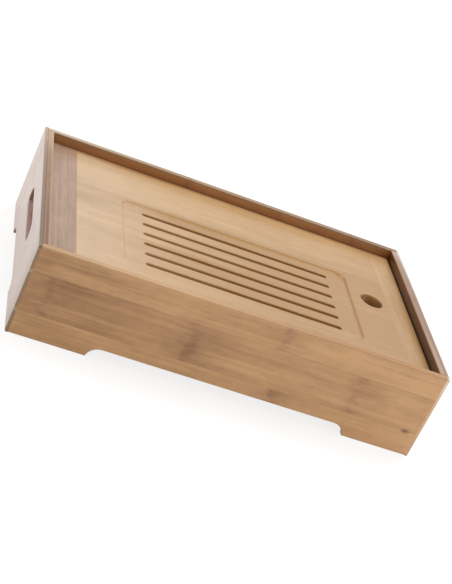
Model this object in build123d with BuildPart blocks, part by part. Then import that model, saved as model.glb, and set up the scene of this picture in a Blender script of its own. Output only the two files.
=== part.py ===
"""Slatted bamboo tea tray: a low four-walled case on cut-out feet, a lift-out
drain lid with breadboard ends, and a loose water tray that stands inside.

The frame has its origin at the centre of the footprint on the table, +X along
the tray to the right-hand end, +Y to the back and +Z up. Sizes are millimetres.
"""
import math
import os

from build123d import *

os.makedirs("parts", exist_ok=True)

# Overall size
tray_length = 280.0
tray_width = 180.0
tray_height = 63.5

# Boards of the case
long_wall_thickness = 5.0
outer_ply_thickness = 2.2
inner_ply_thickness = 4.4
edge_lath_height = 17.5
arris_radius = 0.7
seam_chamfer = 0.25

# Feet left by the cut-outs along the bottom edge
foot_height = 7.3
left_foot_length = 52.3
right_foot_length = 48.8
end_foot_length = 47.1
foot_arc_radius = 9.0

# Hand slots through the two end walls
hand_slot_length = 62.8
hand_slot_height = 13.5
hand_slot_centre_height = 38.0

# Base panel and the groove that holds it
base_thickness = 3.0
base_height = 10.0
base_groove_depth = 2.0
base_groove_play = 0.2

# Ledges under the lid and the posts under their corners
ledge_width = 6.0
ledge_height = 4.5
ledge_chamfer = 1.0

# Lid and the rim that stands above it
rim_height = 7.0
lid_thickness = 7.0
lid_gap = 0.5
left_cleat_width = 18.9
right_cleat_width = 15.9
cleat_easing = 0.3
tongue_length = 6.0
tongue_thickness = 2.5

# Drain slots, the shallow recess they lie in and the finger hole
slot_count = 6
slot_pitch = 14.05
slot_width = 4.0
slots_from_left_end = 73.3
slots_from_right_end = 67.8
slot_edge_easing = 0.4
recess_past_slot_ends = 15.3
recess_past_outer_slots = 9.9
recess_from_front_wall = 22.6
recess_corner_radius = 8.5
recess_depth = 1.4
recess_slope_run = 1.1
recess_arris_radius = 0.5
finger_hole_radius = 8.3
finger_hole_from_right = 35.9
finger_hole_shift_back = 3.2
finger_hole_easing = 0.4

# Water tray, a thin moulding with sloping sides and a flat lip, and the room left round it
water_tray_end_room = 20.4
water_tray_side_gap = 1.0
water_tray_top_gap = 6.0
water_tray_wall = 1.8
water_tray_lip = 2.5
water_tray_draft = 3.0
water_tray_corner_radius = 12.0
water_tray_foot_radius = 3.0

# Stop strips that keep the water tray clear of the hand slots
stop_width = 6.0
stop_height = 6.0
stop_end_room = 18.0
stop_gap = 0.5

# Places worked out from the sizes above
half_length = tray_length / 2
half_width = tray_width / 2
end_wall_thickness = outer_ply_thickness + inner_ply_thickness
inner_half_length = half_length - end_wall_thickness
inner_half_width = half_width - long_wall_thickness
base_top = base_height + base_thickness
lid_top = tray_height - rim_height
ledge_top = lid_top - lid_thickness
ledge_bottom = ledge_top - ledge_height
water_tray_length = 2 * (inner_half_length - water_tray_end_room)
water_tray_width = 2 * (inner_half_width - ledge_width - water_tray_side_gap)
water_tray_height = ledge_bottom - base_top - water_tray_top_gap
cutout_overrun = 2 * foot_arc_radius
front_and_back = {"front": -1, "back": 1}
left_and_right = {"left": -1, "right": 1}

# Long walls: three laths glued edge to edge, the lower one cut out into feet
long_wall_length = tray_length - 2 * outer_ply_thickness
long_cutout_length = tray_length - left_foot_length - right_foot_length
long_cutout_middle = (left_foot_length - right_foot_length) / 2
lath_levels = {
    "lower": (0, edge_lath_height),
    "middle": (edge_lath_height, tray_height - edge_lath_height),
    "upper": (tray_height - edge_lath_height, tray_height),
}

for side, outward in front_and_back.items():
    wall_middle = outward * (inner_half_width + long_wall_thickness / 2)
    for level, (lath_bottom, lath_top) in lath_levels.items():
        with BuildPart() as lath:
            with BuildSketch(Plane.XZ.offset(-wall_middle)):
                with Locations((0, (lath_bottom + lath_top) / 2)):
                    Rectangle(long_wall_length, lath_top - lath_bottom)
                if level == "lower":
                    with Locations((long_cutout_middle, foot_height)):
                        RectangleRounded(
                            long_cutout_length,
                            foot_height + cutout_overrun,
                            foot_arc_radius,
                            align=(Align.CENTER, Align.MAX),
                            mode=Mode.SUBTRACT,
                        )
            extrude(amount=long_wall_thickness / 2, both=True)
            if level == "lower":
                with BuildSketch(Plane.XY.offset(base_height)):
                    with Locations((0, outward * (inner_half_width + base_groove_depth / 2))):
                        Rectangle(long_wall_length, base_groove_depth)
                extrude(amount=base_thickness, mode=Mode.SUBTRACT)
                outer_face = lath.faces().sort_by(Axis.Y)[-1 if outward > 0 else 0]
                foot_edges = outer_face.edges().filter_by(Axis.Z, reverse=True)
                fillet(foot_edges.filter_by_position(Axis.Z, 0, foot_height), arris_radius)
            if level == "upper":
                fillet(lath.edges().filter_by(Axis.X).group_by(Axis.Z)[-1], arris_radius)
        lath.part.label = f"{side}_wall_{level}_lath"
        export_step(lath.part, f"parts/{lath.part.label}.step")

# End walls: two plies, the outer one lapping over the ends of the long walls
end_cutout_length = tray_width - 2 * end_foot_length
seam_at = half_length - outer_ply_thickness

for end, outward in left_and_right.items():
    with BuildPart() as outer_ply:
        with BuildSketch(Plane.YZ.offset(outward * seam_at)) as outer_outline:
            with Locations((0, tray_height / 2)):
                Rectangle(tray_width, tray_height)
            with Locations((0, foot_height)):
                RectangleRounded(
                    end_cutout_length,
                    foot_height + cutout_overrun,
                    foot_arc_radius,
                    align=(Align.CENTER, Align.MAX),
                    mode=Mode.SUBTRACT,
                )
            with Locations((0, hand_slot_centre_height)):
                SlotOverall(hand_slot_length, hand_slot_height, mode=Mode.SUBTRACT)
        extrude(amount=outward * outer_ply_thickness)
        fillet(outer_ply.faces().sort_by(Axis.X)[-1 if outward > 0 else 0].edges(), arris_radius)
        seam_face = outer_ply.faces().sort_by(Axis.X)[0 if outward > 0 else -1]
        chamfer(seam_face.edges().sort_by(Axis.Z)[-1], seam_chamfer)
    outer_ply.part.label = f"{end}_end_outer_ply"
    export_step(outer_ply.part, f"parts/{outer_ply.part.label}.step")

    with BuildPart() as inner_ply:
        with BuildSketch(Plane.YZ.offset(outward * seam_at)):
            with Locations((0, tray_height / 2)):
                Rectangle(2 * inner_half_width, tray_height)
            with Locations((0, foot_height)):
                RectangleRounded(
                    end_cutout_length,
                    foot_height + cutout_overrun,
                    foot_arc_radius,
                    align=(Align.CENTER, Align.MAX),
                    mode=Mode.SUBTRACT,
                )
            with Locations((0, hand_slot_centre_height)):
                SlotOverall(hand_slot_length, hand_slot_height, mode=Mode.SUBTRACT)
        extrude(amount=-outward * inner_ply_thickness)
        with BuildSketch(Plane.XY.offset(base_height)):
            with Locations((outward * (inner_half_length + base_groove_depth / 2), 0)):
                Rectangle(base_groove_depth, 2 * inner_half_width)
        extrude(amount=base_thickness, mode=Mode.SUBTRACT)
        rim_edges = inner_ply.edges().filter_by(Axis.Y).group_by(Axis.Z)[-1].sort_by(Axis.X)
        fillet(rim_edges[0 if outward > 0 else -1], arris_radius)
        seam_edges = inner_ply.edges().filter_by(Axis.Y).group_by(Axis.Z)[-1].sort_by(Axis.X)
        chamfer(seam_edges[-1 if outward > 0 else 0], seam_chamfer)
    inner_ply.part.label = f"{end}_end_inner_ply"
    export_step(inner_ply.part, f"parts/{inner_ply.part.label}.step")

# Base panel: a thin sheet let into the groove that runs round the four walls
base_reach = base_groove_depth - base_groove_play

with BuildPart() as base_panel:
    with BuildSketch(Plane.XY.offset(base_height)):
        Rectangle(2 * (inner_half_length + base_reach), 2 * (inner_half_width + base_reach))
    extrude(amount=base_thickness)
base_panel.part.label = "base_panel"
export_step(base_panel.part, "parts/base_panel.step")

# Ledges glued along the inside of the walls, which carry the lid
for side, outward in front_and_back.items():
    with BuildPart() as long_ledge:
        with BuildSketch(Plane.XY.offset(ledge_bottom)):
            with Locations((0, outward * (inner_half_width - ledge_width / 2))):
                Rectangle(2 * inner_half_length, ledge_width)
        extrude(amount=ledge_height)
        lower_edges = long_ledge.edges().filter_by(Axis.X).group_by(Axis.Z)[0].sort_by(Axis.Y)
        chamfer(lower_edges[0 if outward > 0 else -1], ledge_chamfer)
    long_ledge.part.label = f"{side}_ledge"
    export_step(long_ledge.part, f"parts/{long_ledge.part.label}.step")

for end, outward in left_and_right.items():
    with BuildPart() as end_ledge:
        with BuildSketch(Plane.XY.offset(ledge_bottom)):
            with Locations((outward * (inner_half_length - ledge_width / 2), 0)):
                Rectangle(ledge_width, 2 * (inner_half_width - ledge_width))
        extrude(amount=ledge_height)
        lower_edges = end_ledge.edges().filter_by(Axis.Y).group_by(Axis.Z)[0].sort_by(Axis.X)
        chamfer(lower_edges[0 if outward > 0 else -1], ledge_chamfer)
    end_ledge.part.label = f"{end}_ledge"
    export_step(end_ledge.part, f"parts/{end_ledge.part.label}.step")

# Corner posts between the base panel and the ledges, glued into the corners
for side, to_side in front_and_back.items():
    for end, to_end in left_and_right.items():
        post_x = to_end * (inner_half_length - ledge_width / 2)
        post_y = to_side * (inner_half_width - ledge_width / 2)
        with BuildPart() as corner_post:
            with BuildSketch(Plane.XY.offset(base_top)):
                with Locations((post_x, post_y)):
                    Rectangle(ledge_width, ledge_width)
            extrude(amount=ledge_bottom - base_top)
        corner_post.part.label = f"{side}_{end}_corner_post"
        export_step(corner_post.part, f"parts/{corner_post.part.label}.step")

# Water tray: a lipped moulding whose sides slope in to the foot
tray_body_length = water_tray_length - 2 * water_tray_lip
tray_body_width = water_tray_width - 2 * water_tray_lip
body_corner_radius = water_tray_corner_radius - water_tray_lip

with BuildPart() as water_tray:
    with BuildSketch(Plane.XY.offset(base_top + water_tray_height)):
        RectangleRounded(tray_body_length, tray_body_width, body_corner_radius)
    extrude(amount=-water_tray_height, taper=water_tray_draft)
    fillet(water_tray.faces().sort_by(Axis.Z)[0].edges(), water_tray_foot_radius)
    with BuildSketch(Plane.XY.offset(base_top + water_tray_height)):
        RectangleRounded(water_tray_length, water_tray_width, water_tray_corner_radius)
    extrude(amount=-water_tray_wall)
    with BuildSketch(Plane.XY.offset(base_top + water_tray_height)):
        RectangleRounded(
            tray_body_length - 2 * water_tray_wall,
            tray_body_width - 2 * water_tray_wall,
            body_corner_radius - water_tray_wall,
        )
    extrude(amount=-(water_tray_height - water_tray_wall), taper=water_tray_draft, mode=Mode.SUBTRACT)
    cavity_floor = water_tray.faces().filter_by(Plane.XY).sort_by(Axis.Z)[1]
    fillet(cavity_floor.edges(), water_tray_foot_radius - water_tray_wall)
water_tray.part.label = "water_tray"
export_step(water_tray.part, "parts/water_tray.step")

# Stop strips glued to the base panel at both ends of the water tray
draft_inset = water_tray_height * math.tan(math.radians(water_tray_draft))
stop_start = tray_body_length / 2 - draft_inset + stop_gap

for end, outward in left_and_right.items():
    with BuildPart() as stop_strip:
        with BuildSketch(Plane.XY.offset(base_top)):
            with Locations((outward * (stop_start + stop_width / 2), 0)):
                Rectangle(stop_width, water_tray_width - 2 * stop_end_room)
        extrude(amount=stop_height)
        chamfer(stop_strip.edges().filter_by(Axis.Y).group_by(Axis.Z)[-1], ledge_chamfer)
    stop_strip.part.label = f"{end}_stop_strip"
    export_step(stop_strip.part, f"parts/{stop_strip.part.label}.step")

# Lid board: laths glued up as one board, routed to a recess and slots, tongued at each end
lid_half_length = inner_half_length - lid_gap
lid_half_width = inner_half_width - lid_gap
board_left = -lid_half_length + left_cleat_width
board_right = lid_half_length - right_cleat_width
board_length = board_right - board_left
board_middle = (board_left + board_right) / 2
tongue_bottom = ledge_top + (lid_thickness - tongue_thickness) / 2
finger_hole_x = half_length - finger_hole_from_right
slot_length = tray_length - slots_from_left_end - slots_from_right_end
slots_across = (slot_count - 1) * slot_pitch + slot_width
recess_length = slot_length + 2 * recess_past_slot_ends
recess_across = slots_across + 2 * recess_past_outer_slots
recess_floor = lid_top - recess_depth
recess_slope = math.degrees(math.atan2(recess_slope_run, recess_depth))
drain_x = (slots_from_left_end - slots_from_right_end) / 2
drain_y = recess_from_front_wall + recess_across / 2 - inner_half_width

with BuildPart() as lid_board:
    with BuildSketch(Plane.XY.offset(ledge_top)):
        with Locations((board_middle, 0)):
            Rectangle(board_length, 2 * lid_half_width)
    extrude(amount=lid_thickness)
    with BuildSketch(Plane.XY.offset(tongue_bottom)):
        with Locations((board_middle, 0)):
            Rectangle(board_length + 2 * tongue_length, 2 * lid_half_width)
    extrude(amount=tongue_thickness)
    with BuildSketch(Plane.XY.offset(lid_top)):
        with Locations((drain_x, drain_y)):
            RectangleRounded(recess_length, recess_across, recess_corner_radius)
    extrude(amount=-recess_depth, taper=recess_slope, mode=Mode.SUBTRACT)
    fillet(lid_board.edges(Select.LAST).group_by(Axis.Z)[-1], recess_arris_radius)
    with BuildSketch(Plane.XY.offset(recess_floor)):
        with Locations((drain_x, drain_y)):
            with GridLocations(0, slot_pitch, 1, slot_count):
                SlotOverall(slot_length, slot_width)
    extrude(amount=-lid_thickness, mode=Mode.SUBTRACT)
    chamfer(lid_board.edges(Select.LAST).group_by(Axis.Z)[-1], slot_edge_easing)
    with Locations((finger_hole_x, finger_hole_shift_back, lid_top)):
        Hole(finger_hole_radius)
    chamfer(lid_board.edges(Select.LAST).group_by(Axis.Z)[-1], finger_hole_easing)
lid_board.part.label = "lid_board"
export_step(lid_board.part, "parts/lid_board.step")

# Breadboard cleats: cross-grain strips grooved to take the board's tongues
cleats = {
    "left": (-lid_half_length, board_left, left_cleat_width),
    "right": (board_right, lid_half_length, right_cleat_width),
}

for end, (cleat_start, cleat_end, cleat_width) in cleats.items():
    with BuildPart() as cleat:
        with BuildSketch(Plane.XY.offset(ledge_top)):
            with Locations(((cleat_start + cleat_end) / 2, 0)):
                Rectangle(cleat_width, 2 * lid_half_width)
        extrude(amount=lid_thickness)
        with BuildSketch(Plane.XY.offset(tongue_bottom)):
            with Locations((board_middle, 0)):
                Rectangle(board_length + 2 * tongue_length, 2 * lid_half_width)
        extrude(amount=tongue_thickness, mode=Mode.SUBTRACT)
        end_edges = cleat.edges().filter_by(Axis.Y).group_by(Axis.Z)[-1].sort_by(Axis.X)
        chamfer(end_edges[0 if end == "left" else -1], cleat_easing)
    cleat.part.label = f"lid_{end}_cleat"
    export_step(cleat.part, f"parts/{cleat.part.label}.step")
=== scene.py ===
"""Looks of the slatted bamboo tea tray: varnished laminated bamboo on a pale floor in soft studio light.

The sections follow the tray as it is put together: the long walls, the end walls, what the case holds inside,
the lid and the loose water tray. Metres in the frame, millimetres in the sizes of the grain.
"""
import math

import bpy
import numpy as np
from mathutils import Matrix, Vector


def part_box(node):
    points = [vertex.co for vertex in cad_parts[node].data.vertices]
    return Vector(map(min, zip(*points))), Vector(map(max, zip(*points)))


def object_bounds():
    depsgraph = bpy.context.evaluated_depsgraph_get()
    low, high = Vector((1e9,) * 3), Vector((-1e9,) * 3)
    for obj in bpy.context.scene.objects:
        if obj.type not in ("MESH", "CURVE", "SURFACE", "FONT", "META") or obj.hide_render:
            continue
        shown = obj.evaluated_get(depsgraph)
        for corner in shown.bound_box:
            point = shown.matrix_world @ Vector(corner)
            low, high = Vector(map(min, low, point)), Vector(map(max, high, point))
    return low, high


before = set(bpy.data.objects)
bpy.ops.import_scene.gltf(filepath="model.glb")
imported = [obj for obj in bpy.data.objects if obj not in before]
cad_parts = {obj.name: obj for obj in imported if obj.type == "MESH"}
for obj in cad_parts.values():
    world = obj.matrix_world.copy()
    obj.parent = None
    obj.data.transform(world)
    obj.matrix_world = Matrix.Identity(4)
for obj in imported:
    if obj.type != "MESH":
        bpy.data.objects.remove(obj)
cad_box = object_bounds()
tray_low, tray_high = cad_box
MM = 0.001
X, Y, Z = 0, 1, 2

# Long walls: each is three bamboo laths glued edge to edge, with the fibres along the tray. A culm's
# knuckles cross every lath as brown bands, the laths differ in tone, and a thin satin varnish covers
# them. One finish serves all the bamboo, so the functions that make it are here.


def paint(red, green, blue):
    """Turns a colour written in 0 to 255 as the eye sees it into the linear colour that a shader takes."""
    seen = np.array([red, green, blue]) / 255.0
    linear = np.where(seen <= 0.04045, seen / 12.92, ((seen + 0.055) / 1.055) ** 2.4)
    return (*linear.tolist(), 1.0)


def shade(tree, kind, feeds, output=0, **settings):
    """Adds a shader node, sets it up, feeds each named or numbered input a socket or a value."""
    made = tree.nodes.new(kind)
    for name, value in settings.items():
        setattr(made, name, value)
    for name, value in feeds.items():
        if isinstance(value, bpy.types.NodeSocket):
            tree.links.new(value, made.inputs[name])
        else:
            made.inputs[name].default_value = value
    return made.outputs[output]


def calc(tree, operation, a, b=0.0, c=0.0, clamp=False):
    """One step of arithmetic on sockets or numbers."""
    return shade(tree, "ShaderNodeMath", {0: a, 1: b, 2: c}, operation=operation, use_clamp=clamp)


def centred(tree, noise):
    """Carries noise from 0..1 to -0.5..0.5."""
    return calc(tree, "SUBTRACT", noise, 0.5)


def clamped(tree, value):
    """Holds a value between 0 and 1."""
    return calc(tree, "ADD", value, 0.0, clamp=True)


def span(tree, value, low, high, start=0.0, end=1.0):
    """Carries a value from low..high to start..end with a smooth step, held at the ends."""
    feeds = {"Value": value, "From Min": low, "From Max": high, "To Min": start, "To Max": end}
    return shade(tree, "ShaderNodeMapRange", feeds, interpolation_type="SMOOTHSTEP", clamp=True)


def tint(tree, share, under, over, way="MIX"):
    """Lays one colour over another by a share from 0 to 1."""
    feeds = {0: share, 6: under, 7: over}
    return shade(tree, "ShaderNodeMix", feeds, output=2, data_type="RGBA", blend_type=way)


def speckle(tree, place, seed, detail=2.0, roughness=0.5):
    """Noise from 0 to 1 at a place that is already measured in grains, different for each seed."""
    feeds = {"Vector": place, "W": seed, "Scale": 1.0, "Detail": detail, "Roughness": roughness}
    return shade(tree, "ShaderNodeTexNoise", feeds, noise_dimensions="4D")


def stretched(tree, along, across, through, length, width):
    """A place measured in grains that are length mm long on the fibres and width mm wide over them."""
    parts = {
        X: calc(tree, "DIVIDE", along, length),
        Y: calc(tree, "DIVIDE", across, width),
        Z: calc(tree, "DIVIDE", through, width),
    }
    return shade(tree, "ShaderNodeCombineXYZ", parts)


def bump_at(tree, value, middle, half_width):
    """1 at the middle, falling to 0 at the half width on either side as a bell."""
    away = calc(tree, "DIVIDE", calc(tree, "SUBTRACT", value, middle), half_width)
    return calc(tree, "POWER", math.e, calc(tree, "MULTIPLY", calc(tree, "MULTIPLY", away, away), -1.0))


def spot_at(tree, along, across, at, over, length, width):
    """A soft oval spot, 1 in its middle: a bell on the fibres times a bell over them."""
    return calc(tree, "MULTIPLY", bump_at(tree, along, at, length), bump_at(tree, across, over, width))


KNUCKLE_RAGGED = 7.0
KNUCKLE_SWIRL = 5.0
SCAR_WIDTH, SCAR_SHARE = 0.9, 0.3
SMUDGE_OFF_SCAR, SMUDGE_SHARE = 0.3, 0.55
HALO_REACH, HALO_SHARE = 2.4, 0.2


def knuckle(tree, along, rough, patch, place, spread, strength):
    """A culm's knuckle: a soft mottled brown smudge over the lath, with a fine broken scar through it."""
    bent = calc(tree, "ADD", along, calc(tree, "MULTIPLY", centred(tree, rough), KNUCKLE_RAGGED))
    broken = span(tree, patch, 0.42, 0.62)
    scar = calc(tree, "MULTIPLY", bump_at(tree, bent, place, SCAR_WIDTH), broken)
    mottled = span(tree, patch, 0.3, 0.68, 0.25, 1.0)
    smudge = calc(tree, "MULTIPLY", bump_at(tree, bent, place + spread * SMUDGE_OFF_SCAR, spread), mottled)
    halo = calc(tree, "MULTIPLY", bump_at(tree, along, place + spread, spread * HALO_REACH), HALO_SHARE)
    mark = calc(tree, "MULTIPLY_ADD", scar, SCAR_SHARE, halo)
    mark = calc(tree, "ADD", mark, calc(tree, "MULTIPLY", smudge, SMUDGE_SHARE))
    return calc(tree, "MULTIPLY", mark, strength)


rim_top = tray_high[Z] / MM
lid_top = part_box("lid_board")[1][Z] / MM
FIBRE = (14.0, 0.34)
STREAK = (85.0, 2.4)
CLOUD = (34.0, 10.0)
PATCH = (6.5, 4.5)
ROUGH = (3.4, 2.2)
END_DOT = (4.0, 0.55)
FIBRE_SWAY = 3.0
LATH_SEED_STEP = 3.7
MIDDLE_LEAN = 0.45
STREAK_LEAN, CLOUD_LEAN, PATCH_LEAN, FIBRE_LEAN = 0.84, 0.8, 0.35, 0.34
PORE_SHARE = 0.13
VARNISH_OVER_END_GRAIN = 0.25
GLOSS_RANGE = 0.16
COAT_ROUGHNESS = 0.22
FIBRE_RELIEF, SEAM_RELIEF = 0.6, 0.8
RELIEF_STRENGTH, RELIEF_DEPTH = 0.18, 0.15


def bamboo(name, grain, lie, pale, brown, seed, knuckles=(), blotches=(), flecks=(), tones=(0.0,),
           drift=0.0, lath=None, lath_start=0.0, joint=0.5, contrast=1.0, end_grain=None, sides=(), bands=(),
           gloss=0.38, coat=0.25):
    """Laminated bamboo. grain and lie are the axes of the fibres and of the lath's width, pale and brown
    its two colours. tones says how far each lath in turn leans to brown, and drift how much more it
    leans with each mm along the fibres. In mm, a knuckle is (place, spread, strength), a blotch or a
    fleck (along, across, half length, half width, strength), a side (axis, sign, lowest z, colour at
    the lid, colour at the rim) and a band along an edge (axis, place, half width, lowest z, colour,
    share), with the middle and half length of its run on the fibres where it dies away."""
    material = bpy.data.materials.new(name)
    material.use_nodes = True
    tree = material.node_tree
    surface = tree.nodes["Principled BSDF"]
    where = tree.nodes.new("ShaderNodeTexCoord")
    in_mm = shade(tree, "ShaderNodeVectorMath", {0: where.outputs["Object"], 3: 1 / MM}, operation="SCALE")
    parts = tree.nodes.new("ShaderNodeSeparateXYZ")
    tree.links.new(in_mm, parts.inputs[0])
    thick = X + Y + Z - grain - lie
    along, across, through = (parts.outputs[axis] for axis in (grain, lie, thick))
    height = parts.outputs[Z]

    own_seed = seed
    if lath is not None:
        into_board = calc(tree, "SUBTRACT", across, lath_start)
        number = calc(tree, "FLOOR", calc(tree, "DIVIDE", into_board, lath))
        own_seed = calc(tree, "MULTIPLY_ADD", number, LATH_SEED_STEP, seed)
        seam = span(tree, calc(tree, "PINGPONG", into_board, lath / 2), 0.1, 0.4, 1.0, 0.0)

    def grains(sideways, size, **kind):
        """Noise in grains of a (length, width), with a seed of its own for each lath."""
        return speckle(tree, stretched(tree, along, sideways, through, *size), own_seed, **kind)

    rough = grains(across, ROUGH, detail=3.0, roughness=0.65)
    patch = grains(across, PATCH)
    cloud = grains(across, CLOUD)
    swayed = calc(tree, "MULTIPLY_ADD", centred(tree, cloud), FIBRE_SWAY, across)
    for place, spread, strength in knuckles:
        swirl = calc(tree, "MULTIPLY", bump_at(tree, along, place, spread * 2.0), KNUCKLE_SWIRL * strength)
        swayed = calc(tree, "MULTIPLY_ADD", centred(tree, rough), swirl, swayed)
    streak = grains(swayed, STREAK, detail=3.0, roughness=0.55)
    fibre = grains(swayed, FIBRE, detail=1.0)
    pore = span(tree, fibre, 0.56, 0.74)

    lean = MIDDLE_LEAN
    for noise, share in ((streak, STREAK_LEAN), (cloud, CLOUD_LEAN), (patch, PATCH_LEAN), (fibre, FIBRE_LEAN)):
        lean = calc(tree, "MULTIPLY_ADD", centred(tree, noise), share * contrast, lean)
    lean = calc(tree, "MULTIPLY_ADD", along, drift, lean)
    if len(tones) > 1:
        ramp = tree.nodes.new("ShaderNodeValToRGB")
        ramp.color_ramp.interpolation = "CONSTANT"
        stops = ramp.color_ramp.elements
        for i, tone in enumerate(tones):
            stop = stops[i] if i < 2 else stops.new(i / len(tones))
            stop.position = i / len(tones)
            stop.color = (tone + 0.5, tone + 0.5, tone + 0.5, 1.0)
        tree.links.new(calc(tree, "DIVIDE", calc(tree, "ADD", number, 0.5), len(tones)), ramp.inputs[0])
        lean = calc(tree, "ADD", lean, centred(tree, ramp.outputs[0]))
    else:
        lean = calc(tree, "ADD", lean, tones[0])
    for at, over, length, width, strength in blotches:
        lean = calc(tree, "MULTIPLY_ADD", spot_at(tree, along, swayed, at, over, length, width), strength, lean)
    colour = tint(tree, clamped(tree, lean), pale, brown)
    colour = tint(tree, calc(tree, "MULTIPLY", pore, PORE_SHARE * contrast), colour, PORE)

    for place, spread, strength in knuckles:
        mark = knuckle(tree, along, rough, patch, place, spread, strength)
        colour = tint(tree, clamped(tree, mark), colour, KNUCKLE)
    for at, over, length, width, strength in flecks:
        core = span(tree, spot_at(tree, along, across, at, over, length, width), 0.15, 0.9, 0.0, strength)
        colour = tint(tree, core, colour, KNUCKLE)
    if lath is not None and joint:
        colour = tint(tree, calc(tree, "MULTIPLY", seam, joint), colour, GLUE_LINE)

    facing = tree.nodes.new("ShaderNodeSeparateXYZ")
    tree.links.new(where.outputs["Normal"], facing.inputs[0])
    if end_grain:
        end_pale, end_dark = end_grain
        cut = span(tree, calc(tree, "ABSOLUTE", facing.outputs[grain]), 0.6, 0.8)
        dots_at = stretched(tree, along, across, through, *END_DOT)
        dots = shade(tree, "ShaderNodeTexVoronoi", {"Vector": dots_at, "Scale": 1.0})
        end_colour = tint(tree, span(tree, dots, 0.15, 0.5), end_dark, end_pale)
        colour = tint(tree, cut, colour, tint(tree, VARNISH_OVER_END_GRAIN, end_colour, colour))
    # Each side multiplies the colour of the faces turned one way: for some faces that is their tone, for others
    # painted light or painted shade.
    for axis, sign, lowest, lid_colour, rim_colour in sides:
        turned = span(tree, calc(tree, "MULTIPLY", facing.outputs[axis], sign), 0.3, 0.9)
        turned = calc(tree, "MULTIPLY", turned, span(tree, height, lowest - 0.5, lowest))
        side_colour = tint(tree, span(tree, height, lid_top, rim_top), lid_colour, rim_colour)
        colour = tint(tree, turned, colour, side_colour, "MULTIPLY")
    # Bands hold glue lines and tones, and some are painted shade or painted highlights along edges.
    for axis, place, half_width, lowest, band_colour, share, *run in bands:
        near = calc(tree, "MULTIPLY", bump_at(tree, parts.outputs[axis], place, half_width), share)
        if run:
            near = calc(tree, "MULTIPLY", near, bump_at(tree, along, *run))
        near = calc(tree, "MULTIPLY", near, span(tree, height, lowest - 0.3, lowest))
        colour = tint(tree, near, colour, band_colour)

    tree.links.new(colour, surface.inputs["Base Color"])
    dullness = calc(tree, "MULTIPLY_ADD", streak, GLOSS_RANGE, gloss - GLOSS_RANGE / 2)
    tree.links.new(dullness, surface.inputs["Roughness"])
    surface.inputs["Coat Weight"].default_value = coat
    surface.inputs["Coat Roughness"].default_value = COAT_ROUGHNESS
    relief = calc(tree, "MULTIPLY", fibre, FIBRE_RELIEF)
    if lath is not None:
        relief = calc(tree, "SUBTRACT", relief, calc(tree, "MULTIPLY", seam, SEAM_RELIEF))
    feeds = {"Height": relief, "Strength": RELIEF_STRENGTH, "Distance": RELIEF_DEPTH * MM}
    tree.links.new(shade(tree, "ShaderNodeBump", feeds), surface.inputs["Normal"])
    return material


def finish_node(node, material):
    """Gives a node of the frame its finish."""
    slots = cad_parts[node].data.materials
    slots.clear()
    slots.append(material)


PORE = paint(112, 72, 42)
KNUCKLE = paint(118, 65, 36)
GLUE_LINE = paint(96, 62, 38)
END_GRAIN = (paint(160, 122, 84), paint(104, 70, 44))
CASE_PALE, CASE_BROWN = paint(222, 171, 118), paint(160, 111, 63)
# Painted shade: a multiply on the inward faces of the long walls, darkest at the lid and below it.
WALL_INSIDE_SHADE = (paint(203, 168, 133), paint(220, 214, 192))
FRONT_RIM = paint(234, 229, 208)
BACK_RIM = paint(218, 224, 212)
# Painted shade: dark lines under the lower arrises of the feet and along the top of the cut-outs.
FOOT_EDGE_SHADE = paint(104, 80, 60)
EVERYWHERE = -1.0
above_table = 1.0
rim_face = rim_top - 2.0
rim_arris = rim_top - 1.5
rim_skin = rim_top - 0.4
cutout_top, cutout_middle, cutout_half = 7.3, 1.75, 75
# A painted shade band along the bottom of the feet.
shaded_foot_edge = (Z, 0, 0.6, EVERYWHERE, FOOT_EDGE_SHADE, 0.45)

joint_fleck = (129.5, 17.6, 3.6, 1.9, 0.72)
front_marks = {
    "lower": {
        "tones": (-0.22,),
        "knuckles": [(33, 8.5, 0.66)],
        "blotches": [(36.5, 13, 5, 5, 0.15)],
        "flecks": [joint_fleck],
    },
    "middle": {
        "tones": (0.0,),
        "knuckles": [(-124, 6.5, 0.42), (-31, 7.0, 0.58), (85, 4.0, 0.42)],
        "blotches": [
            (-105, 34, 26, 13, 0.16), (-85, 41, 45, 5, 0.06), (-28, 29, 4.5, 6, 0.3),
            (-18, 38, 14, 7, 0.18), (98, 33, 14, 10, 0.12), (15, 26, 35, 6, -0.18),
        ],
        "flecks": [joint_fleck],
    },
    "upper": {
        "tones": (-0.2,),
        "knuckles": [(25.5, 3.6, 0.6)],
        "blotches": [
            (-107, 55.7, 28, 1.8, 0.3), (-100, 51.5, 30, 2, -0.15), (18, 56, 10, 5, 0.12),
            (-134, 55, 7, 10, 0.2), (48, 61.5, 18, 3, 0.28),
        ],
    },
}
back_marks = {
    "lower": {"tones": (0.06,), "knuckles": [(-62, 4.0, 0.6), (92, 4.0, 0.5)]},
    "middle": {"tones": (-0.04,), "knuckles": [(-104, 4.0, 0.6), (14, 5.0, 0.7), (118, 3.0, 0.5)]},
    "upper": {"tones": (0.03,), "knuckles": [(-31, 3.0, 0.4), (101, 3.5, 0.4)]},
}
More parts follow.
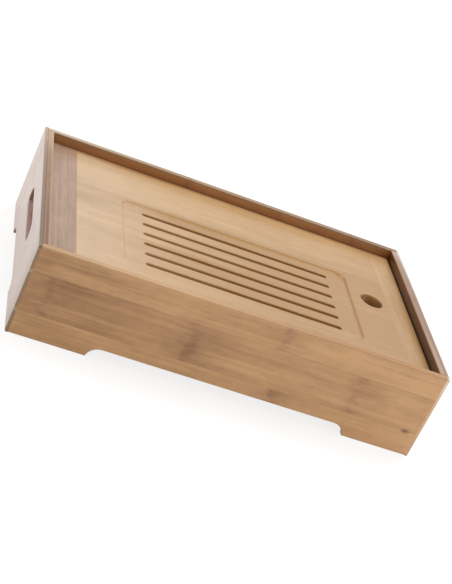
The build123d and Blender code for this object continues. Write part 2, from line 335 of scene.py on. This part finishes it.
for level, marks in front_marks.items():
    lath_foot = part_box(f"front_wall_{level}_lath")[0][Z] / MM
    finish_node(f"front_wall_{level}_lath", bamboo(
        f"front {level} lath", X, Z, CASE_PALE, CASE_BROWN, seed=len(level) * 1.7 + 2.0, **marks,
        # drift pales the front towards the right: partly lath tone, partly a painted falloff of light.
        drift=-0.0016, end_grain=END_GRAIN,
        # The inward faces get painted shade, and the top edge its own tone.
        sides=((Y, 1, 0.0, *WALL_INSIDE_SHADE), (Z, 1, rim_face, FRONT_RIM, FRONT_RIM)),
        bands=(
            (Z, lath_foot, 0.25, above_table, GLUE_LINE, 0.28),
            # A painted highlight: a pale band along the top edge of the front face.
            (Z, rim_top, 0.9, above_table, paint(224, 188, 142), 0.3),
            (X, 85, 110, rim_skin, paint(166, 105, 6), 0.85),
            # Painted shade along the bottom of the feet and along the top edge of the cut-out.
            shaded_foot_edge,
            (Z, cutout_top, 0.5, EVERYWHERE, FOOT_EDGE_SHADE, 0.35, cutout_middle, cutout_half),
        ),
    ))
for level, marks in back_marks.items():
    lath_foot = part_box(f"back_wall_{level}_lath")[0][Z] / MM
    finish_node(f"back_wall_{level}_lath", bamboo(
        f"back {level} lath", X, Z, CASE_PALE, CASE_BROWN, seed=len(level) * 2.3 + 11.0, **marks,
        end_grain=END_GRAIN,
        # The top edge gets its own tone, and the inward faces get painted shade.
        sides=((Z, 1, rim_face, BACK_RIM, BACK_RIM), (Y, -1, 0.0, *WALL_INSIDE_SHADE)),
        bands=(
            (Z, lath_foot, 0.25, above_table, GLUE_LINE, 0.35),
            (X, -140, 60, rim_skin, paint(240, 224, 200), 0.5),
            (X, 150, 130, rim_skin, paint(114, 64, 4), 0.66),
            # Painted shadow: a dark line along the inner top edge of the back rim.
            (Y, 85.2, 1.3, rim_top - 0.8, paint(112, 78, 46), 0.6),
            shaded_foot_edge,
        ),
    ))

# End walls: two bamboo plies with their fibres across the tray. The outer ply laps over the ends of
# the long walls, so its end grain shows at each corner of the front: a dark band is laid over the left
# corner, and the pale band at the right corner is a painted highlight. The outer ply is paler and greyer
# than the walls, partly as a painted sheen, and its top edge is browner than its face.
# Painted light: the first lifts and greys the faces of the plies that look up above the feet, the hand slot's
# sill and the top edges. The second lifts the faces of the inner ply that look to the front, such as the far
# end of the hand slot.
SILL_PAINTED_LIGHT = (1.36, 1.42, 1.78, 1.0)
SLOT_END_PAINTED_LIGHT = (1.15, 1.45, 2.1, 1.0)
INNER_PLY_EDGE = paint(168, 149, 120)
# Painted shade on the inward faces of the end walls, darkest at the lid.
PLY_INSIDE_SHADE = (paint(78, 50, 22), paint(138, 98, 56))
PALE_AT_JOINT = paint(196, 168, 128)
slot_low = 5.0
front_corner = tray_low[Y] / MM
left_end = {
    "outward": -1,
    "seed": 21.0,
    "edge": paint(157, 134, 96),
    # A darker band over the left front corner of the ply.
    "corner": (Y, front_corner, 15, above_table, paint(148, 114, 76), 0.75),
    "end_grain": (paint(158, 114, 74), paint(106, 70, 42)),
    "glue_share": 0.6,
    # Marks on the rim top and face, in order: a dark olive band near the outer edge and a dark red line further
    # in over the front half, a pale line inside them, a paler back end, a browner low front, and pale lines at
    # the lath joints of the end grain.
    "rim_tones_shade_and_highlights": (
        (X, -139.0, 1.3, rim_arris, paint(98, 80, 50), 0.74, -68, 55),
        (X, -135.4, 1.2, rim_arris, paint(98, 58, 34), 0.78, -68, 58),
        (X, -133.5, 0.8, rim_arris, paint(222, 188, 150), 0.5),
        (Y, 90, 34, rim_arris, paint(232, 208, 180), 0.36),
        (Z, 8, 12, above_table, paint(150, 108, 66), 0.2, -84, 14),
        (Z, 17.5, 1.5, above_table, PALE_AT_JOINT, 0.6, front_corner, 4),
        (Z, 45.5, 1.5, above_table, PALE_AT_JOINT, 0.6, front_corner, 4),
    ),
}
right_end = {
    "outward": 1,
    "seed": 27.0,
    "edge": paint(170, 152, 124),
    # Painted highlight: the pale band at the right front corner, and the paler end grain on the next line with
    # it.
    "corner": (Y, front_corner, 2.5, above_table, paint(236, 190, 144), 0.75),
    "end_grain": (paint(222, 176, 128), paint(190, 142, 98)),
    "glue_share": 0.35,
    "rim_tones_shade_and_highlights": (
        # Painted shade: a near-black line low on the wall where the lid meets it.
        (X, 133.4, 0.4, lid_top, paint(24, 12, 4), 0.3, -50, 50),
        (X, 135.5, 1.6, rim_top - 0.5, paint(222, 190, 160), 0.35, -75, 40),
        # Painted highlight along the rim's outer edge towards the back.
        (X, 139.4, 1.7, rim_top - 0.5, paint(250, 240, 230), 0.7, 92, 40),
        (Y, 90, 14, rim_top - 0.5, paint(232, 216, 200), 0.35),
        # Darker towards the bottom of the right front corner, and a painted highlight at its top.
        (Z, 6, 14, above_table, paint(180, 140, 108), 0.4, front_corner, 2.5),
        (Z, 58, 9, above_table, paint(255, 240, 226), 0.6, front_corner, 2.5),
    ),
}
for end, look in (("left", left_end), ("right", right_end)):
    ply_faces = [corner[X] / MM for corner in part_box(f"{end}_end_outer_ply")]
    seam_at, face_at = ply_faces[::look["outward"]]
    glue = (X, seam_at, 0.35, rim_arris, GLUE_LINE, look["glue_share"])
    # Painted shade: a dark band along the rim's outer arris.
    arris = (X, face_at, 0.8, rim_arris, paint(112, 88, 64), 0.5)
    finish_node(f"{end}_end_outer_ply", bamboo(
        # The outer ply's pale grey colours are partly a painted sheen.
        f"{end} outer ply", Y, Z, paint(216, 188, 167), paint(180, 146, 124), seed=look["seed"],
        contrast=0.7, knuckles=[(-38, 4.0, 0.2), (61, 4.5, 0.2)], blotches=[(56, 56, 10, 5, 0.4)],
        end_grain=look["end_grain"],
        sides=((Z, 1, slot_low, SILL_PAINTED_LIGHT, SILL_PAINTED_LIGHT), (Z, 1, rim_face, look["edge"], look["edge"])),
        bands=(look["corner"], glue, arris, *look["rim_tones_shade_and_highlights"], shaded_foot_edge), coat=0.5,
    ))
    finish_node(f"{end}_end_inner_ply", bamboo(
        f"{end} inner ply", Y, Z, paint(226, 192, 160), paint(180, 142, 110), seed=look["seed"] + 3.0,
        knuckles=[(12, 4.0, 0.3)], end_grain=END_GRAIN,
        sides=((Z, 1, slot_low, SILL_PAINTED_LIGHT, SILL_PAINTED_LIGHT), (Z, 1, rim_face, INNER_PLY_EDGE, INNER_PLY_EDGE),
               (X, -look["outward"], 0.0, *PLY_INSIDE_SHADE), (Y, -1, slot_low, SLOT_END_PAINTED_LIGHT, SLOT_END_PAINTED_LIGHT)),
        bands=(glue, *look["rim_tones_shade_and_highlights"]), coat=0.1,
    ))

# Inside of the case: a base panel in a groove, ledges that carry the lid, corner posts and two stop
# strips. They are planed and glued in with no varnish, so they are paler and duller.
UNVARNISHED = {"end_grain": END_GRAIN, "gloss": 0.6, "coat": 0.0}
INNER_PALE, INNER_BROWN = paint(214, 176, 130), paint(164, 120, 78)
finish_node("base_panel", bamboo(
    "base panel", X, Y, INNER_PALE, INNER_BROWN, seed=31.0, knuckles=[(-70, 4.0, 0.5), (60, 4.0, 0.45)],
    tones=(0.0, 0.1, -0.08, 0.05, -0.02, 0.12, -0.05, 0.03, 0.08), lath=20.0, lath_start=-90.0, joint=0.6,
    **UNVARNISHED,
))
for node, grain, lie in (
    ("front_ledge", X, Z), ("back_ledge", X, Z), ("left_ledge", Y, Z), ("right_ledge", Y, Z),
    ("left_stop_strip", Y, Z), ("right_stop_strip", Y, Z),
    ("front_left_corner_post", Z, X), ("front_right_corner_post", Z, X),
    ("back_left_corner_post", Z, X), ("back_right_corner_post", Z, X),
):
    finish_node(node, bamboo(
        node.replace("_", " "), grain, lie, INNER_PALE, INNER_BROWN, seed=40.0 + len(node), **UNVARNISHED,
    ))

# Lid board: ten laths glued up as one board, routed to a shallow recess with six drain slots and a
# round finger hole. It is the palest bamboo of the tray, with a browner lath over the drain field. It
# grows browner towards the right, partly tone and partly a painted falloff of light. Painted shade lies
# along the back wall and the recess's back edge, and the walls of the slots and the recess are painted lighter.
LID_PALE, LID_BROWN = paint(224, 188, 140), paint(174, 129, 73)
# Painted light: the board's faces that look to the front, the recess's back slope and its side slopes are
# multiplied brighter against the shade they stand in.
SLOT_WALL_PAINTED_LIGHT = (1.3, 1.3, 1.35, 1.0)
RECESS_BACK_PAINTED_LIGHT = (1.08, 1.2, 1.46, 1.0)
RECESS_SIDE_PAINTED_LIGHT = (1.35, 1.35, 1.35, 1.0)
recess_floor = lid_top - 1.45
under_recess_floor = lid_top - 1.6
board_low, board_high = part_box("lid_board")
lid_tones = (0.12, 0.14, 0.16, 0.22, 0.04, 0.14, 0.34, 0.1, 0.12, 0.16)
finish_node("lid_board", bamboo(
    "lid board", X, Y, LID_PALE, LID_BROWN, seed=51.0, knuckles=[(-104, 3.0, 0.1), (118, 3.0, 0.08)],
    tones=lid_tones, lath=(board_high[Y] - board_low[Y]) / MM / len(lid_tones),
    # drift browns the board towards the right: partly tone, partly a painted falloff of light.
    lath_start=board_low[Y] / MM, joint=0.12, contrast=0.6, drift=0.0026,
    blotches=[
        # Painted shade among these: the strong brown band along the back edge at the left is the back wall's
        # painted shadow, and the paler patch at the back right thins it. The bands along the recess's back edge
        # and on the floor just in front of it are painted shade.
        (10, -22, 105, 48, 0.44), (-112, 84, 60, 4, 1.3), (100, 74, 70, 22, -0.22), (0, 31, 150, 4.5, 0.28),
        (-115, 12, 24, 7, 0.65), (-118, 38, 22, 9, 0.3), (0, 24, 90, 5, 0.22),
    ],
    # Painted light on the slot walls and the recess slopes.
    sides=(
        (Y, -1, board_low[Z] / MM, SLOT_WALL_PAINTED_LIGHT, SLOT_WALL_PAINTED_LIGHT),
        (Y, -1, recess_floor, RECESS_BACK_PAINTED_LIGHT, RECESS_BACK_PAINTED_LIGHT),
        (X, -1, under_recess_floor, RECESS_SIDE_PAINTED_LIGHT, RECESS_SIDE_PAINTED_LIGHT),
        (X, 1, under_recess_floor, RECESS_SIDE_PAINTED_LIGHT, RECESS_SIDE_PAINTED_LIGHT),
    ),
    bands=((X, -105, 45, EVERYWHERE, paint(216, 190, 166), 0.3),), end_grain=END_GRAIN,
))

# Lid cleats: cross-grain strips glued over the board's tongues, which keep it flat. The left one is
# of darker, grey-brown bamboo with streaks, and the right one is pale like the board.
finish_node("lid_left_cleat", bamboo(
    "dark cleat", Y, X, paint(194, 160, 134), paint(142, 108, 84), seed=61.0, tones=(-0.1, 0.08, 0.14),
    lath=6.4, lath_start=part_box("lid_left_cleat")[0][X] / MM, joint=0.25, end_grain=END_GRAIN,
))
finish_node("lid_right_cleat", bamboo(
    "pale cleat", Y, X, LID_PALE, LID_BROWN, seed=67.0, tones=(0.45,), contrast=0.6,
    blotches=[(62, 122, 40, 60, -0.24)], end_grain=END_GRAIN,
))


# Water tray: a thin moulding in dark brown plastic that lies loose under the drain slots. Its surface
# has the fine spark-eroded texture of such mouldings.
def moulded_plastic(name, colour, lighter):
    """Matte plastic: one colour with a faint cloud in it and a fine texture in the surface."""
    material = bpy.data.materials.new(name)
    material.use_nodes = True
    tree = material.node_tree
    surface = tree.nodes["Principled BSDF"]
    where = tree.nodes.new("ShaderNodeTexCoord").outputs["Object"]
    cloud = shade(tree, "ShaderNodeTexNoise", {"Vector": where, "Scale": 35.0, "Detail": 3.0})
    tree.links.new(tint(tree, cloud, colour, lighter), surface.inputs["Base Color"])
    grit = shade(tree, "ShaderNodeTexNoise", {"Vector": where, "Scale": 2600.0, "Detail": 1.0})
    tree.links.new(calc(tree, "MULTIPLY_ADD", grit, 0.12, 0.42), surface.inputs["Roughness"])
    bump = shade(tree, "ShaderNodeBump", {"Height": grit, "Strength": 0.25, "Distance": 0.05 * MM})
    tree.links.new(bump, surface.inputs["Normal"])
    return material


finish_node("water_tray", moulded_plastic("water tray plastic", paint(52, 38, 30), paint(66, 50, 40)))


# Studio: a pale floor that runs out of view, a wide soft lamp high at the back right, weaker ones at
# the left and in front, and a pale surround. The eye sees the floor and the surround as plain white.
def seen_ray(tree):
    """1 where the eye looks, also in a reflection or through something clear, and 0 for light on its way."""
    rays = tree.nodes.new("ShaderNodeLightPath")
    seen = calc(tree, "MAXIMUM", rays.outputs["Is Camera Ray"], rays.outputs["Is Glossy Ray"])
    return calc(tree, "MAXIMUM", seen, rays.outputs["Is Transmission Ray"])


floor_reach = 6.0
floor_mesh = bpy.data.meshes.new("floor")
floor_mesh.from_pydata(
    [(-floor_reach, -floor_reach, 0), (floor_reach, -floor_reach, 0),
     (floor_reach, floor_reach, 0), (-floor_reach, floor_reach, 0)], [], [(0, 1, 2, 3)],
)
floor = bpy.data.objects.new("floor", floor_mesh)
bpy.context.scene.collection.objects.link(floor)
floor.location.z = tray_low[Z]
floor_paint = bpy.data.materials.new("pale floor")
floor_paint.use_nodes = True
tree = floor_paint.node_tree
matte = tree.nodes["Principled BSDF"]
floor_bounce, floor_seen, floor_lift = 0.86, 0.26, 0.81
matte.inputs["Roughness"].default_value = 0.9
matte.inputs["Emission Color"].default_value = (1.0, 1.0, 1.0, 1.0)
seen = seen_ray(tree)
grey = calc(tree, "MULTIPLY_ADD", seen, floor_seen - floor_bounce, floor_bounce)
tree.links.new(grey, matte.inputs["Base Color"])
tree.links.new(calc(tree, "MULTIPLY", seen, floor_lift), matte.inputs["Emission Strength"])
floor_mesh.materials.append(floor_paint)

world = bpy.data.worlds.new("surround")
bpy.context.scene.world = world
world.use_nodes = True
tree = world.node_tree
backdrop = tree.nodes["Background"]
backdrop.inputs["Color"].default_value = (1.0, 1.0, 1.0, 1.0)
surround_light, surround_seen = 0.38, 1.0
strength = calc(tree, "MULTIPLY_ADD", seen_ray(tree), surround_seen - surround_light, surround_light)
tree.links.new(strength, backdrop.inputs["Strength"])


def soft_lamp(name, place, size, watts):
    """A square soft lamp that looks at the middle of the tray."""
    lamp = bpy.data.lights.new(name, "AREA")
    lamp.size = size
    lamp.energy = watts
    holder = bpy.data.objects.new(name, lamp)
    bpy.context.scene.collection.objects.link(holder)
    holder.location = place
    aim = (tray_low + tray_high) / 2 - Vector(place)
    holder.rotation_euler = aim.to_track_quat("-Z", "Y").to_euler()


soft_lamp("high lamp", place=(0.5, 0.55, 1.45), size=1.0, watts=15.0)
soft_lamp("left lamp", place=(-1.3, 0.35, 1.2), size=0.9, watts=7.0)
soft_lamp("front lamp", place=(0.9, -1.4, 0.5), size=0.9, watts=5.0)

# Camera: where the photograph was taken from, tilted as it was, so the table slopes in the picture.
camera_data = bpy.data.cameras.new("camera")
camera_data.lens = 89.37
camera_data.sensor_width = 36.0
camera = bpy.data.objects.new("camera", camera_data)
bpy.context.scene.collection.objects.link(camera)
bpy.context.scene.camera = camera
camera_place = Vector((-257.55, -860.44, 449.69)) * MM
camera_turn = Vector((2.03439806, 0.15635608, 0.47252864))
right, down, ahead = Matrix.Rotation(camera_turn.length, 3, camera_turn)
camera.matrix_world = Matrix.LocRotScale(
    camera_place, Matrix((right, -down, -ahead)).transposed().to_quaternion(), None
)

bpy.context.scene.view_settings.view_transform = "Standard"
